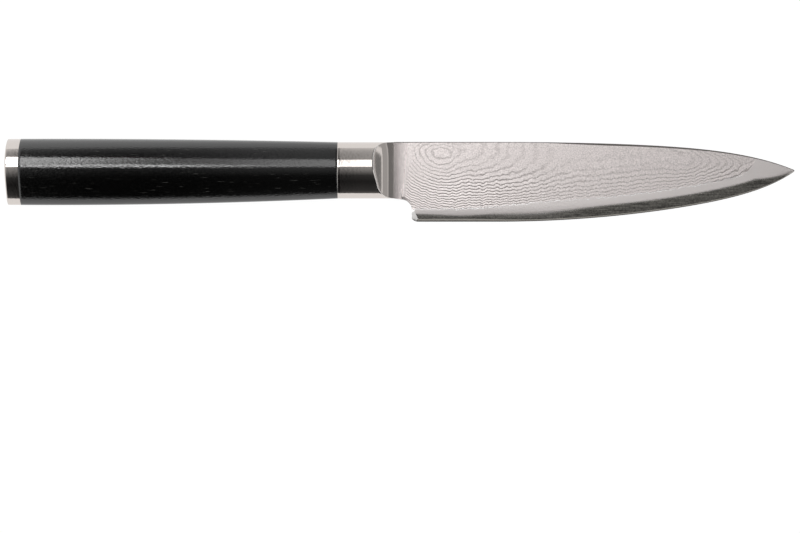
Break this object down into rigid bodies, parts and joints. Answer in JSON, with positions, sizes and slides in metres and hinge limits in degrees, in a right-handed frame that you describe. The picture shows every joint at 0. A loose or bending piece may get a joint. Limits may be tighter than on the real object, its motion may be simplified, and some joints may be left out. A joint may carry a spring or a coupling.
{
  "type": "paring knife",
  "caption": "Short kitchen knife with a layered steel blade, hollow-ground steel bolster, black D-section wood grip and steel end cap.",
  "frame": {"origin": "middle of the bounding box's bottom, with the knife lying on the round back of its grip", "axes": "+X to the point, +Y to the spine, +Z to the right side, where the grip has its ridge"},
  "size_m": [0.207, 0.0218, 0.0144],
  "materials": {
    "core_steel": "fine ground",
    "bright_cladding": "blasted, bright layer",
    "dark_cladding": "blasted, dark layer",
    "bolster_steel": "satin",
    "tang_steel": "raw",
    "weld_metal": "as welded",
    "resin_wood": "black resin-filled wood, fine lengthwise grain",
    "epoxy": "cured glue",
    "cap_steel": "satin"
  },
  "bodies": {
    "root": {"blade_core": "core_steel", "right_layer_01": "bright_cladding", "left_layer_01": "bright_cladding", "right_layer_02": "dark_cladding", "left_layer_02": "dark_cladding", "right_layer_03": "bright_cladding", "left_layer_03": "bright_cladding", "right_layer_04": "dark_cladding", "left_layer_04": "dark_cladding", "right_layer_05": "bright_cladding", "left_layer_05": "bright_cladding", "right_layer_06": "dark_cladding", "left_layer_06": "dark_cladding", "right_layer_07": "bright_cladding", "left_layer_07": "bright_cladding", "right_layer_08": "dark_cladding", "left_layer_08": "dark_cladding", "right_layer_09": "bright_cladding", "left_layer_09": "bright_cladding", "right_layer_10": "dark_cladding", "left_layer_10": "dark_cladding", "right_layer_11": "bright_cladding", "left_layer_11": "bright_cladding", "right_layer_12": "dark_cladding", "left_layer_12": "dark_cladding", "right_layer_13": "bright_cladding", "left_layer_13": "bright_cladding", "right_layer_14": "dark_cladding", "left_layer_14": "dark_cladding", "right_layer_15": "bright_cladding", "left_layer_15": "bright_cladding", "right_layer_16": "dark_cladding", "left_layer_16": "dark_cladding", "bolster": "bolster_steel", "tang": "tang_steel", "tang_weld": "weld_metal", "grip": "resin_wood", "adhesive_bed": "epoxy", "end_cap": "cap_steel"}
  },
  "joints": []
}
